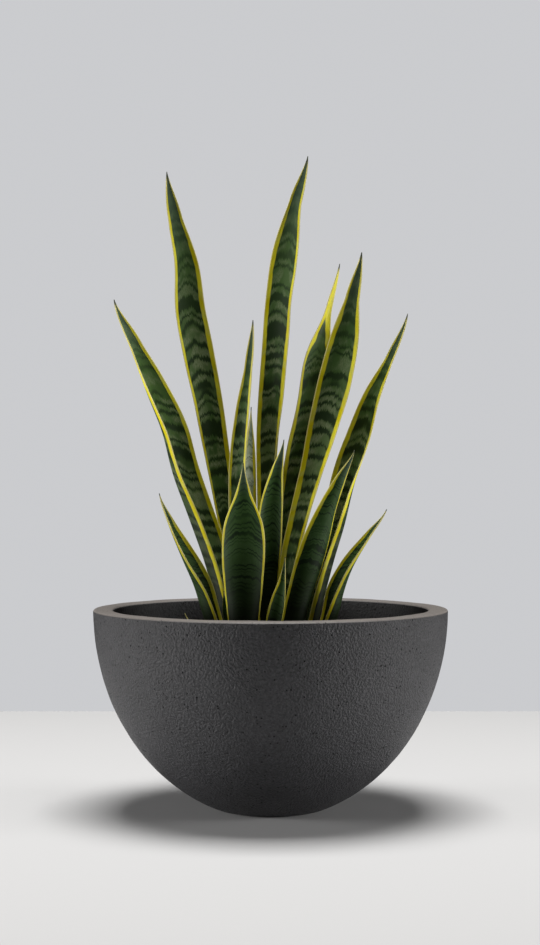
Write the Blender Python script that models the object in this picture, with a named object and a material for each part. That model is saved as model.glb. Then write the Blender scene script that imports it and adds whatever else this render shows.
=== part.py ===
"""Potted snake plant in a round-bottomed bowl planter.

Metres, +Z up, -Y towards the front. The origin is on the bowl's axis, on the surface it stands on.
Run with: blender --background --python part.py
"""

import math
from dataclasses import dataclass

import bmesh
import bpy
from mathutils import Vector

MM = 0.001

# ---- Bowl: an ellipse turned about Z, cut flat for the foot -------------------------------------
RIM_RADIUS = 200 * MM
BOWL_HEIGHT = 226 * MM
CURVE_DEPTH = 236 * MM  # half-height of the ellipse that the outside follows, down from the rim
WALL = 22 * MM
FLOOR = 20 * MM
RIM_EDGE = 2.0 * MM  # rounding of the rim's two edges
FOOT_RING = 15 * MM  # width of the ring that the bowl stands on
FOOT_RECESS = 3 * MM
DRAIN_RADIUS = 12 * MM

# ---- Soil ----------------------------------------------------------------------------------------
SOIL_BELOW_RIM = 38 * MM  # where the soil meets the wall
SOIL_MOUND = 4 * MM  # how much higher it is in the middle
GAP = 0.3 * MM  # clearance between pieces that touch

# ---- Leaves --------------------------------------------------------------------------------------
ROOTED = 34 * MM  # length of each leaf below the soil
TIP_LENGTH = 55 * MM  # below the tip, over which the tall leaves are fuller, so that it is blunt
TIP_SWELL = 3.2 * MM  # added to the width halfway down that length
THICK_FOOT = 5.0 * MM
THICK_TIP = 1.6 * MM
THICK_MARGIN = 0.9 * MM
RINGS_PER_METRE = 46
FEWEST_RINGS = 7
ROUND_STEPS = 60  # facets round the bowl and the soil
SOIL_ROWS = 9  # facets up the wall, from the floor to the soil line
ACROSS = (-1.0, -0.62, -0.22, 0.22, 0.62, 1.0)  # places across a leaf, margin to margin

SOIL_LEVEL = BOWL_HEIGHT - SOIL_BELOW_RIM
INNER_RADIUS = RIM_RADIUS - WALL


@dataclass
class Leaf:
    """One leaf, from where it leaves the soil (0) to its tip (1).

    middle and back are the X and Y of the point midway between the two margins. wide is the
    distance straight across from margin to margin. face is the compass direction that the hollow
    side looks in, in degrees: 0 is the front and 90 is +X. fold is how far the blade is curled:
    90 makes the section a half circle. Each tuple is spaced evenly by height from soil to tip
    and is joined by a smooth curve.
    """

    name: str
    height: float  # mm above the soil
    middle: tuple  # mm
    back: tuple  # mm
    wide: tuple  # mm
    face: tuple
    fold: tuple


LEAVES = [
    Leaf("leaf_left_outer", 390, (-32, -42, -55, -73, -92, -107, -130, -155, -179),
         (6, 12, 16, 22), (42, 43, 45, 47, 49, 47, 39, 20, 0),
         (72, 72, 71, 70, 66, 62, 60, 56, 50), (84, 84, 80, 72, 64, 56, 48)),
    Leaf("leaf_left_tall", 540, (-29, -36, -44, -53, -62, -71, -82, -92, -97, -110, -120),
         (38, 42, 44, 46), (22, 22, 24, 28, 32, 35, 38, 36, 29, 17, 0),
         (35, 30, 25, 20, 18, 20), (80, 60, 45, 35, 35)),
    Leaf("leaf_centre_tall", 557, (-7, -8, -8, -7, -5, 0, 5, 9, 17, 28, 43),
         (33, 36, 38, 40), (27, 28, 30, 33, 36, 35, 35, 34, 33, 16, 0),
         (-64, -64, -62, -58, -50, -35, -30, -28, -25, -20, -20), (74, 68, 54, 33, 34, 34)),
    Leaf("leaf_right_back", 433, (18, 18, 20, 25, 35, 47, 55, 67, 80),
         (38, 38, 39, 41), (22, 24, 26, 31, 33, 33, 31, 11, 0),
         (-20, -20, -15, -10, 0, 5, 15, 50, 60), (76, 60, 45, 35, 45)),
    Leaf("leaf_right_tall", 443, (9, 14, 21, 33, 47, 60, 73, 84, 94, 104),
         (4, 6, 10, 14), (27, 27, 27, 29, 32, 37, 39, 33, 15, 0),
         (-50, -50, -48, -44, -36, -25, -15, -10, -5, -5), (76, 62, 46, 36, 35)),
    Leaf("leaf_right_outer", 374, (31, 41, 54, 69, 82, 100, 116, 138, 157),
         (8, 12, 18, 24), (36, 37, 38, 40, 40, 35, 24, 10, 0),
         (-68, -70, -67, -62, -55, -42, -40, -45, -45), (84, 84, 76, 62, 50, 45, 45)),
    Leaf("leaf_right_low", 151, (50, 59, 68, 84, 107, 130),
         (-21, -23, -25), (28, 31, 31, 24, 12, 0), (-85, -83, -74, -72, -68, -60), (84, 82, 64, 55)),
    Leaf("leaf_left_low", 169, (-50, -58, -70, -90, -109, -124),
         (-30, -33, -34), (32, 35, 35, 26, 13, 0), (82, 84, 78, 68, 66, 60), (84, 80, 62, 55)),
    Leaf("leaf_front_broad", 203, (-29, -30, -30, -30, -30, -30, -30),
         (-46, -54, -60), (29, 36, 43, 48, 43, 17, 0), (180, 180), (60, 45, 36, 40)),
    Leaf("leaf_front_right", 217, (18, 26, 34, 43, 53, 64, 78, 93),
         (-31, -36, -42), (27, 29, 32, 34, 31, 22, 12, 0), (206, 206), (64, 52, 42, 45)),
    Leaf("leaf_left_narrow", 365, (-25, -31, -36, -38, -37, -32, -25, -20),
         (-17, -12, -4, 4), (16, 17, 18, 20, 20, 17, 9, 0), (-20, -20), (64, 50, 40, 40)),
    Leaf("leaf_centre_back", 267, (-16, -20, -22, -23, -23, -22),
         (10, 14, 18), (14, 16, 17, 17, 14, 0), (35, 35), (60, 50, 40)),
    Leaf("leaf_front_middle", 229, (-2, -3, -3, -1, 1, 7, 15),
         (-16, -18, -20), (18, 20, 24, 27, 26, 15, 0), (175, 175), (62, 50, 42)),
    Leaf("leaf_young_middle", 99, (2, 3, 8, 13, 16),
         (-47, -52, -55), (14, 17, 16, 7, 0), (185, 185), (60, 50, 45)),
    Leaf("leaf_young_left", 60, (-41, -45, -49, -52),
         (-32, -35, -37), (12, 13, 9, 0), (160, 160), (60, 50)),
    Leaf("leaf_pup", 37, (-74, -84, -95), (-45, -47, -48), (7, 5, 0), (90, 90), (55, 55)),
]


def along(values, share):
    """The value at share (0 foot, 1 tip) of a smooth curve through evenly spaced values."""
    if len(values) == 1:
        return values[0]
    spans = len(values) - 1
    place = min(max(share, 0.0), 1.0) * spans
    i = min(int(place), spans - 1)
    f = place - i
    before = values[max(i - 1, 0)]
    after = values[min(i + 2, spans)]
    p, q = values[i], values[i + 1]
    m, n = (q - before) / 2, (after - p) / 2
    return (
        p * (2 * f**3 - 3 * f**2 + 1)
        + m * (f**3 - 2 * f**2 + f)
        + q * (3 * f**2 - 2 * f**3)
        + n * (f**3 - f**2)
    )


def middle_of(leaf, share):
    """The point midway between the margins. Below the soil it carries on straight."""
    if share < 0:
        return middle_of(leaf, 0.0) + direction(leaf, 0.0) * (share * leaf.height * MM)
    x = along(leaf.middle, share)
    y = along(leaf.back, share)
    return Vector((x * MM, y * MM, SOIL_LEVEL + share * leaf.height * MM))


def direction(leaf, share):
    """Unit vector that the leaf grows in."""
    low = min(max(share, 0.0), 0.98)
    return (middle_of(leaf, low + 0.02) - middle_of(leaf, low)).normalized()


def half_width(leaf, share):
    """Half of the distance straight across from margin to margin."""
    wide = along(leaf.wide, share) * MM
    height = leaf.height * MM
    if height > 5 * TIP_LENGTH:
        below = min(1.0, (1 - min(share, 1.0)) * height / TIP_LENGTH)
        wide += TIP_SWELL * 4 * below * (1 - below)
    return max(wide / 2, THICK_MARGIN)


def section(leaf, share, grow=0.0):
    """Closed ring of points round the blade at share, made larger all round by grow."""
    up = direction(leaf, share)
    face = math.radians(along(leaf.face, share))
    looks = Vector((math.sin(face), -math.cos(face), 0.0))
    inward = (looks - up * looks.dot(up)).normalized()
    across = up.cross(inward)
    fold = math.radians(along(leaf.fold, share))
    half = half_width(leaf, share)
    radius = half / math.sin(fold)
    centre = middle_of(leaf, share) + inward * (radius * math.cos(fold))
    climb = min(max(share, 0.0), 1.0)
    thick = THICK_FOOT + (THICK_TIP - THICK_FOOT) * climb**0.7
    thick = min(thick, half)
    sides = {1: [], -1: []}
    for place in ACROSS:
        angle = (fold + grow / radius) * place
        outwards = across * math.sin(angle) - inward * math.cos(angle)
        edge = min(THICK_MARGIN, thick)
        depth = (edge + (thick - edge) * (1 - place**2)) / 2 + grow
        for out in sides:
            sides[out].append(centre + outwards * (radius + depth * out))
    return sides[-1] + sides[1][::-1]


def loft(name, rings, tip=None):
    """A closed skin over the rings, flat at the first and flat or pointed at the last."""
    shape = bmesh.new()
    rows = [[shape.verts.new(p) for p in ring] for ring in rings]
    count = len(rows[0])
    for low, high in zip(rows, rows[1:]):
        for i in range(count):
            j = (i + 1) % count
            shape.faces.new((low[i], low[j], high[j], high[i]))
    shape.faces.new(rows[0][::-1])
    if tip is None:
        shape.faces.new(rows[-1])
    else:
        point = shape.verts.new(tip)
        for i in range(count):
            shape.faces.new((rows[-1][i], rows[-1][(i + 1) % count], point))
    bmesh.ops.triangulate(shape, faces=[f for f in shape.faces if len(f.verts) > 4])
    return finish(name, shape)


def finish(name, shape):
    """Turns the bmesh into a named object in the scene, shaded smooth but for its sharp edges."""
    mesh = bpy.data.meshes.new(name)
    shape.to_mesh(mesh)
    shape.free()
    mesh.shade_smooth()
    mesh.set_sharp_from_angle(angle=math.radians(40))
    thing = bpy.data.objects.new(name, mesh)
    bpy.context.scene.collection.objects.link(thing)
    return thing


def ring_shares(leaf):
    """Where the rings of a leaf are: its buried end, the soil, and on to just short of its tip."""
    count = max(FEWEST_RINGS, round(leaf.height * MM * RINGS_PER_METRE))
    last = 1 - 0.3 / count
    above = [last * (1 - (1 - i / count) ** 1.1) for i in range(1, count + 1)]
    return [-ROOTED / (leaf.height * MM), 0.0] + above


def make_leaf(leaf):
    rings = [section(leaf, share) for share in ring_shares(leaf)]
    return loft(leaf.name, rings, middle_of(leaf, 1.0))


def make_socket_cutter(leaf):
    """The shape that the leaf's buried end leaves in the soil, with the gap all round."""
    shares = ring_shares(leaf)[:4]
    shares[0] = -(ROOTED + GAP) / (leaf.height * MM)
    cutter = loft("socket_" + leaf.name, [section(leaf, share, GAP) for share in shares])
    cutter.hide_render = True
    cutter.display_type = "WIRE"
    return cutter


def outer_point(angle, inset=0.0):
    """(radius, height) on the bowl's outer ellipse, or inset from it along its normal."""
    r, z = RIM_RADIUS * math.cos(angle), BOWL_HEIGHT - CURVE_DEPTH * math.sin(angle)
    normal = Vector((math.cos(angle) / RIM_RADIUS, -math.sin(angle) / CURVE_DEPTH)).normalized()
    return r - normal.x * inset, z - normal.y * inset


def angle_at_height(height, inset=0.0):
    """Angle on the inset ellipse at which it passes the given height, found by halving."""
    low, high = 0.0, math.pi / 2
    for _ in range(40):
        middle = (low + high) / 2
        if outer_point(middle, inset)[1] > height:
            low = middle
        else:
            high = middle
    return (low + high) / 2


def curve(first, last, inset, steps):
    """Points on the inset ellipse between two angles."""
    return [outer_point(first + (last - first) * i / steps, inset) for i in range(steps + 1)]


def corner(centre_r, centre_z, start, end, steps=2):
    """Points on a rounded rim edge, between two angles in degrees."""
    points = []
    for i in range(steps + 1):
        angle = math.radians(start + (end - start) * i / steps)
        points.append((centre_r + RIM_EDGE * math.cos(angle), centre_z + RIM_EDGE * math.sin(angle)))
    return points


def turned(name, profile, touches_axis=False):
    """The solid that a closed (radius, height) profile sweeps round Z."""
    shape = bmesh.new()
    verts = [shape.verts.new((r, 0.0, z)) for r, z in profile]
    edges = [shape.edges.new(pair) for pair in zip(verts, verts[1:])]
    if not touches_axis:
        edges.append(shape.edges.new((verts[-1], verts[0])))
    bmesh.ops.spin(
        shape, geom=verts + edges, cent=(0, 0, 0), axis=(0, 0, 1),
        angle=2 * math.pi, steps=ROUND_STEPS, use_merge=True,
    )
    bmesh.ops.remove_doubles(shape, verts=shape.verts[:], dist=0.01 * MM)
    bmesh.ops.recalc_face_normals(shape, faces=shape.faces[:])
    return finish(name, shape)


def make_bowl():
    rim_centre = BOWL_HEIGHT - RIM_EDGE
    foot_radius = outer_point(angle_at_height(0.0))[0]
    outside = curve(angle_at_height(0.0), angle_at_height(rim_centre), 0.0, 12)
    soil_line = angle_at_height(SOIL_LEVEL, WALL)
    inside = curve(angle_at_height(rim_centre, WALL), soil_line, WALL, 2)
    inside += curve(soil_line, angle_at_height(FLOOR, WALL), WALL, SOIL_ROWS)[1:]
    rim = corner(RIM_RADIUS - RIM_EDGE, rim_centre, 0, 90)[1:]
    rim += corner(INNER_RADIUS + RIM_EDGE, rim_centre, 90, 180)[:-1]
    foot = [
        (DRAIN_RADIUS, FLOOR),
        (DRAIN_RADIUS, FOOT_RECESS),
        (foot_radius - FOOT_RING - FOOT_RECESS, FOOT_RECESS),
        (foot_radius - FOOT_RING, 0.0),
    ]
    return turned("planter_bowl", outside + rim + inside + foot)


def make_soil(leaves):
    low, high = angle_at_height(FLOOR, WALL), angle_at_height(SOIL_LEVEL, WALL)
    wall = curve(low, high, WALL + GAP, SOIL_ROWS)
    top = [
        (wall[-1][0] * share, wall[-1][1] + SOIL_MOUND * (1 - share**2))
        for share in (0.75, 0.5, 0.25, 0.0)
    ]
    soil = turned("potting_soil", [(0.0, wall[0][1])] + wall + top, touches_axis=True)
    for leaf in leaves:
        cut = soil.modifiers.new("socket", "BOOLEAN")
        cut.operation = "DIFFERENCE"
        cut.solver = "EXACT"
        cut.object = make_socket_cutter(leaf)
    return soil


def material(name, colour, roughness):
    made = bpy.data.materials.new(name)
    made.use_nodes = True
    shader = made.node_tree.nodes["Principled BSDF"]
    shader.inputs["Base Color"].default_value = (*colour, 1.0)
    shader.inputs["Roughness"].default_value = roughness
    shader.inputs["Metallic"].default_value = 0.0
    return made


def main():
    for thing in list(bpy.data.objects):
        bpy.data.objects.remove(thing)
    stone = material("charcoal_stone", (0.045, 0.045, 0.05), 0.65)
    earth = material("potting_mix", (0.035, 0.022, 0.014), 0.95)
    blade = material("leaf_green", (0.035, 0.085, 0.035), 0.35)
    make_bowl().data.materials.append(stone)
    make_soil(LEAVES).data.materials.append(earth)
    for leaf in LEAVES:
        make_leaf(leaf).data.materials.append(blade)


main()
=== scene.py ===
"""Potted snake plant: the finished look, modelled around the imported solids.

Metres, +Z up, -Y towards the front. The bowl, the potting mix and each leaf are modelled again in
full detail here, and each stands for its plain solid.
"""

import math
import random
from collections import namedtuple

import bmesh
import bpy
from mathutils import Matrix, Vector, noise


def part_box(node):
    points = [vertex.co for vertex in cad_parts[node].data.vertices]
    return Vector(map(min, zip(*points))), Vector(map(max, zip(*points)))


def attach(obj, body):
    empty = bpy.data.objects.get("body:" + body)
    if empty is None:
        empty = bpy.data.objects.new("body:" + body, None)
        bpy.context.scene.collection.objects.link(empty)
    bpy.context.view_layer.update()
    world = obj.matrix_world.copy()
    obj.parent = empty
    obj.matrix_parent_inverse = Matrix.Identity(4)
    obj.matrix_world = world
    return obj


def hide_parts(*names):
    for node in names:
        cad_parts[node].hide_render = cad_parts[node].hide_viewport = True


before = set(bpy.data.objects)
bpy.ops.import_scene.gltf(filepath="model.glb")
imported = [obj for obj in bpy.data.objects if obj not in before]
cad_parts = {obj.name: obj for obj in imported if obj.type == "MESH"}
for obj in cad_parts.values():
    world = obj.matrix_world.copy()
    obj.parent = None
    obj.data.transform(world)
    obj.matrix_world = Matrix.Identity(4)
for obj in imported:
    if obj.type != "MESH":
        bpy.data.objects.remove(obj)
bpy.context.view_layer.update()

bl_info = {
    "name": "Potted Snake Plant",
    "version": (1, 0, 0),
    "blender": (4, 5, 0),
    "location": "View3D > Sidebar > Snake Plant",
    "description": "Builds a variegated snake plant in a bowl planter",
    "category": "Add Mesh",
}

MM = 0.001
BODY = "root"
BOWL_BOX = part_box("planter_bowl")
SOIL_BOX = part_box("potting_soil")

CURVE_DEPTH = 0.236  # the bowl's outside follows an ellipse this deep, cut off flat for the foot
WALL = 0.022
FLOOR = 0.020
SOIL_MOUND = 0.004
SOIL_LEVEL = SOIL_BOX[1].z - SOIL_MOUND
GAP = 0.0003  # between the soil and the inner wall
DRAIN_RADIUS = 0.012
RECESS = 0.003  # height of the hollow inside the foot ring
FOOT_EDGE = 0.0016  # height of the foot ring's rounded edges
SMOOTH_FOOT = 0.004  # the wall is even below this height


# ---- Leaves --------------------------------------------------------------------------------------
# Each leaf: CAD node, height above the soil, then lists spaced evenly from the soil to the tip:
# middle and back (X and Y midway between the margins), wide (straight across), face (compass
# direction that the hollow side looks in, 0 the front, 90 +X) and fold (90 is a half circle).
# kind is the sort of leaf. left and right are the widths of its yellow margins from foot to tip,
# left being on the viewer's left when the hollow side is seen. Lengths are mm, angles degrees.

Leaf = namedtuple("Leaf", "node height middle back wide face fold kind left right")

LEAVES = [
    Leaf("leaf_left_outer", 390, (-32, -42, -55, -73, -92, -107, -130, -155, -179),
         (6, 12, 16, 22), (42, 43, 45, 47, 49, 47, 39, 20, 0),
         (72, 72, 71, 70, 66, 62, 60, 56, 50), (84, 84, 80, 72, 64, 56, 48),
         "grown", (4, 4.5, 5, 5.5, 6, 6.5, 6, 4), (5, 5, 5, 5, 4.5, 4, 3.5, 3)),
    Leaf("leaf_left_tall", 540, (-29, -36, -44, -53, -62, -71, -82, -92, -97, -110, -120),
         (38, 42, 44, 46), (22, 22, 24, 28, 32, 35, 38, 36, 29, 17, 0),
         (35, 30, 25, 20, 18, 20), (80, 60, 45, 35, 35),
         "grown", (4, 4, 4, 4, 4, 4), (4, 4.5, 5, 5, 5.5, 5.5, 5, 4)),
    Leaf("leaf_centre_tall", 557, (-7, -8, -8, -7, -5, 0, 5, 9, 17, 28, 43),
         (33, 36, 38, 40), (27, 28, 30, 33, 36, 35, 35, 34, 33, 16, 0),
         (-64, -64, -62, -58, -50, -35, -30, -28, -25, -20, -20), (74, 68, 54, 33, 34, 34),
         "grown", (5, 5, 5, 5, 5, 5, 5, 4), (6, 6, 7, 8, 9, 8, 6, 4, 3.5, 3.5, 3.5)),
    Leaf("leaf_right_back", 433, (18, 18, 20, 25, 35, 47, 55, 67, 80),
         (38, 38, 39, 41), (22, 24, 26, 31, 33, 33, 31, 11, 0),
         (-20, -20, -15, -10, 0, 5, 15, 50, 60), (76, 60, 45, 35, 45),
         "grown", (5, 5, 5, 6, 5, 4, 3.5, 14, 17), (4, 4, 4, 4, 4, 4, 4.5, 15, 18)),
    Leaf("leaf_right_tall", 443, (9, 14, 21, 33, 47, 60, 73, 84, 94, 104),
         (4, 6, 10, 14), (27, 27, 27, 29, 32, 37, 39, 33, 15, 0),
         (-50, -50, -48, -44, -36, -25, -15, -10, -5, -5), (76, 62, 46, 36, 35),
         "grown", (6, 6.5, 6.5, 6, 6, 5.5, 5.5, 5, 4), (8, 10, 10, 9, 8, 7, 6, 5, 4, 3)),
    Leaf("leaf_right_outer", 374, (31, 41, 54, 69, 82, 100, 116, 138, 157),
         (8, 12, 18, 24), (36, 37, 38, 40, 40, 35, 24, 10, 0),
         (-68, -70, -67, -62, -55, -42, -40, -45, -45), (84, 84, 76, 62, 50, 45, 45),
         "grown", (6, 6.5, 6.5, 6, 5.5, 5, 4.5, 4, 3), (5, 5, 5, 5, 6, 6, 6, 5, 3.5)),
    Leaf("leaf_right_low", 151, (50, 59, 68, 84, 107, 130),
         (-21, -23, -25), (28, 31, 31, 24, 12, 0), (-85, -83, -74, -72, -68, -60),
         (84, 82, 64, 55), "young", (3, 3.5, 3.5, 3), (3, 3.5, 4, 3)),
    Leaf("leaf_left_low", 169, (-50, -58, -70, -90, -109, -124),
         (-30, -33, -34), (32, 35, 35, 26, 13, 0), (82, 84, 78, 68, 66, 60),
         (84, 80, 62, 55), "young", (3, 3.2, 3.2, 3), (3.5, 4.5, 4.5, 4)),
    Leaf("leaf_front_broad", 203, (-29, -30, -30, -30, -30, -30, -30),
         (-46, -54, -60), (29, 36, 43, 48, 43, 17, 0), (180, 180), (60, 45, 36, 40),
         "young", (2.6, 2.8, 3.2, 3.6, 3.4, 3), (2.6, 2.8, 3.2, 3.2, 3.2, 3)),
    Leaf("leaf_front_right", 217, (18, 26, 34, 43, 53, 64, 78, 93),
         (-31, -36, -42), (27, 29, 32, 34, 31, 22, 12, 0), (206, 206), (64, 52, 42, 45),
         "young", (2.6, 2.8, 3, 3, 3), (3.4, 3.6, 4.2, 4, 3.4)),
    Leaf("leaf_left_narrow", 365, (-25, -31, -36, -38, -37, -32, -25, -20),
         (-17, -12, -4, 4), (16, 17, 18, 20, 20, 17, 9, 0), (-20, -20), (64, 50, 40, 40),
         "grown", (2.6, 2.6, 2.8, 3, 3, 2), (3, 3, 3, 3, 3, 2)),
    # Its pale greens are partly the leaf's own silvery bloom and partly painted light, for the
    # strong light on its face.
    Leaf("leaf_centre_back", 267, (-16, -20, -22, -23, -23, -22),
         (10, 14, 18), (14, 16, 17, 17, 14, 0), (35, 35), (60, 50, 40),
         "pale", (2, 2), (3.5, 3.5)),
    Leaf("leaf_front_middle", 229, (-2, -3, -3, -1, 1, 7, 15),
         (-16, -18, -20), (18, 20, 24, 27, 26, 15, 0), (175, 175), (62, 50, 42),
         "young", (2.4, 2.4, 2.6, 3), (2.6, 3, 3.2, 3)),
    Leaf("leaf_young_middle", 99, (2, 3, 8, 13, 16),
         (-47, -52, -55), (14, 17, 16, 7, 0), (185, 185), (60, 50, 45),
         "young", (1.5, 1.5), (3, 3)),
    Leaf("leaf_young_left", 60, (-41, -45, -49, -52),
         (-32, -35, -37), (12, 13, 9, 0), (160, 160), (60, 50), "young", (1.6, 1.6), (1.6, 1.6)),
    Leaf("leaf_pup", 37, (-74, -84, -95), (-45, -47, -48), (7, 5, 0), (90, 90), (55, 55),
         "young", (1, 1), (1, 1)),
]
# Lengths in mm.
TALL = 275.0  # leaves taller than this have a fuller, blunter tip
TIP_LENGTH = 55.0  # how far down from the tip they are fuller
TIP_SWELL = 3.2  # width added halfway down that length
POINT = 0.35  # least half width, which the tip ends in
ROOTED = 20.0  # how much of each leaf is modelled below the soil line
MIDRIB = 5.0  # thickness in the middle of the blade at the foot
MIDRIB_TIP = 1.6
EDGE = 0.9
RIPPLE = 0.9  # how far the margins ripple, and the length of a ripple
RIPPLE_LENGTH = 42.0
RIPPLE_WIDTH = 8.0  # where the half width is under this, the margins ripple less
RIDGE = 0.12  # height of the ridges along the blade, and the length over which they change
RIDGE_LENGTH = 90.0
RIDGE_COUNT = 9.0


def rising(value, low, high):
    """0 up to low, 1 from high on, and evenly between them."""
    return min(1.0, max(0.0, (value - low) / (high - low)))


def along(values, share):
    """The value at share (0 foot, 1 tip) of a smooth curve through evenly spaced values."""
    spans = len(values) - 1
    place = min(max(share, 0.0), 1.0) * spans
    i = min(int(place), spans - 1)
    f = place - i
    before = values[max(i - 1, 0)]
    after = values[min(i + 2, spans)]
    p, q = values[i], values[i + 1]
    m, n = (q - before) / 2, (after - p) / 2
    return (
        p * (2 * f**3 - 3 * f**2 + 1)
        + m * (f**3 - 2 * f**2 + f)
        + q * (3 * f**2 - 2 * f**3)
        + n * (f**3 - f**2)
    )


def middle_of(leaf, share):
    """The point midway between the margins. Below the soil it carries on straight."""
    if share < 0:
        return middle_of(leaf, 0.0) + direction(leaf, 0.0) * (share * leaf.height * MM)
    x = along(leaf.middle, share)
    y = along(leaf.back, share)
    return Vector((x * MM, y * MM, SOIL_LEVEL + share * leaf.height * MM))


def direction(leaf, share):
    """Unit vector that the leaf grows in."""
    low = min(max(share, 0.0), 0.98)
    return (middle_of(leaf, low + 0.02) - middle_of(leaf, low)).normalized()


def half_width(leaf, share):
    """Half of the distance straight across the blade, in metres."""
    wide = along(leaf.wide, share)
    if leaf.height > TALL:
        below = min(1.0, (1 - min(share, 1.0)) * leaf.height / TIP_LENGTH)
        wide += TIP_SWELL * 4 * below * (1 - below)
    return max(wide / 2, POINT) * MM


def blade_point(leaf, across, share, seed):
    """A point of the blade's middle layer. across runs from -1 to 1, margin to margin."""
    up = direction(leaf, share)
    face = math.radians(along(leaf.face, share))
    looks = Vector((math.sin(face), -math.cos(face), 0.0))
    inward = (looks - up * looks.dot(up)).normalized()
    sideways = up.cross(inward)
    fold = math.radians(along(leaf.fold, share))
    radius = half_width(leaf, share) / math.sin(fold)
    centre = middle_of(leaf, share) + inward * (radius * math.cos(fold))
    angle = fold * across
    outwards = sideways * math.sin(angle) - inward * math.cos(angle)
    climb = share * leaf.height
    ripple = noise.noise(Vector((climb / RIPPLE_LENGTH, across * 0.7, seed * 7.3)))
    wave = ripple * RIPPLE * MM * across**2
    wave *= min(1.0, half_width(leaf, share) / (RIPPLE_WIDTH * MM))
    ridge = noise.noise(Vector((across * RIDGE_COUNT, climb / RIDGE_LENGTH, seed * 3.1)))
    return centre + outwards * (radius + wave + ridge * RIDGE * MM)


def thickness_share(leaf, across, share):
    """How thick the blade is at a place, as a share of MIDRIB."""
    climb = min(max(share, 0.0), 1.0)
    thick = MIDRIB + (MIDRIB_TIP - MIDRIB) * climb**0.7
    thick = min(thick, half_width(leaf, share) / MM * 1.1 + 0.4)
    edge = min(EDGE, thick)
    return (edge + (thick - edge) * (1 - abs(across) ** 2.2)) / MIDRIB


# ---- Helpers -------------------------------------------------------------------------------------


def only(thing):
    """Makes thing the one selected and active object, in object mode."""
    if bpy.context.mode != "OBJECT":
        bpy.ops.object.mode_set(mode="OBJECT")
    bpy.ops.object.select_all(action="DESELECT")
    thing.select_set(True)
    bpy.context.view_layer.objects.active = thing


def new_piece(name):
    """Names the primitive that was just added."""
    thing = bpy.context.active_object
    thing.name = name
    thing.data.name = name
    return thing


def apply_modifiers(thing):
    only(thing)
    for modifier in list(thing.modifiers):
        bpy.ops.object.modifier_apply(modifier=modifier.name)


def place_in_mesh(thing):
    """Moves the object's place into its mesh, so that the object sits at the origin."""
    only(thing)
    bpy.ops.object.transform_apply(location=True, rotation=True, scale=True)


def stand_for(thing, node):
    """thing rides on the body and stands for the CAD node."""
    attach(thing, BODY)
    if node:
        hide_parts(node)


def settings():
    return bpy.context.scene.snake_plant


# ---- Materials -----------------------------------------------------------------------------------
# Colours are linear red, green and blue.

# The foot colours are painted shade: they darken the leaves towards the soil, where shade falls.
GREEN_FOOT_SHADE = (0.0040, 0.0070, 0.0012)
YOUNG_FOOT_SHADE = (0.0032, 0.0068, 0.0008)
# The back's pale frost colour is partly the leaf's own and partly painted sheen.
BACK_FROST_AND_SHEEN = (0.085, 0.112, 0.070)
TIP_GREY = (0.085, 0.120, 0.090)
POINT_BROWN = (0.075, 0.085, 0.050)
YELLOW = (0.690, 0.590, 0.0010)
YELLOW_LIGHT = (0.840, 0.770, 0.040)
YELLOW_GREENISH = (0.640, 0.640, 0.140)
YELLOW_STREAK = (0.480, 0.440, 0.004)
YELLOW_CREAM = (0.850, 0.760, 0.340)
YELLOW_FOOT_SHADE = (0.120, 0.100, 0.008)
YELLOW_YOUNG = (0.100, 0.090, 0.002)
EDGE_DARK = (0.620, 0.560, 0.190)
EDGE_LIGHT = (0.780, 0.710, 0.340)
EDGE_FOOT_SHADE = (0.150, 0.130, 0.020)
# The pits' near black is painted shade inside them.
PIT_SHADE = (0.0025, 0.0025, 0.0030)
STONE_NEAR_SOIL = (0.012, 0.010, 0.009)
PEAT_DARK = (0.010, 0.007, 0.005)
PEAT_LIGHT = (0.040, 0.026, 0.016)
PEAT_FIBRE = (0.105, 0.072, 0.042)

POINT_SPAN = (0.975, 0.992)  # shares of a leaf's height over which it turns to its dark point
NEAR_SOIL_SPAN = (200.0, 186.0)  # heights in mm, from just above the soil line to just below it
RIM_SPAN = (0.0022, 0.0005)  # depths below the rim's top over which it turns to its dusty colour

# For each sort of leaf: the dark, middle, light and frosted greens of its upper part, and its
# bands: spacing, feathering and waviness in mm, width as a share of the spacing, and softness.
LEAF_KINDS = {
    "grown": ((0.0115, 0.0270, 0.0063), (0.050, 0.104, 0.024), (0.104, 0.158, 0.058),
              (0.200, 0.240, 0.128), 16.5, 7.0, 3.4, 0.48, 0.34),
    "young": ((0.0058, 0.0170, 0.0042), (0.0220, 0.0560, 0.0110), (0.031, 0.070, 0.016),
              (0.044, 0.086, 0.028), 6.0, 0.8, 3.4, 0.30, 0.36),
    # The pale sort: partly the leaf's own silvery bloom, partly painted light for the strong light
    # on its face.
    "pale": ((0.070, 0.120, 0.062), (0.380, 0.460, 0.330), (0.640, 0.700, 0.570),
             (0.820, 0.860, 0.740), 7.0, 6.0, 2.5, 0.24, 0.30),
}


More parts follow.
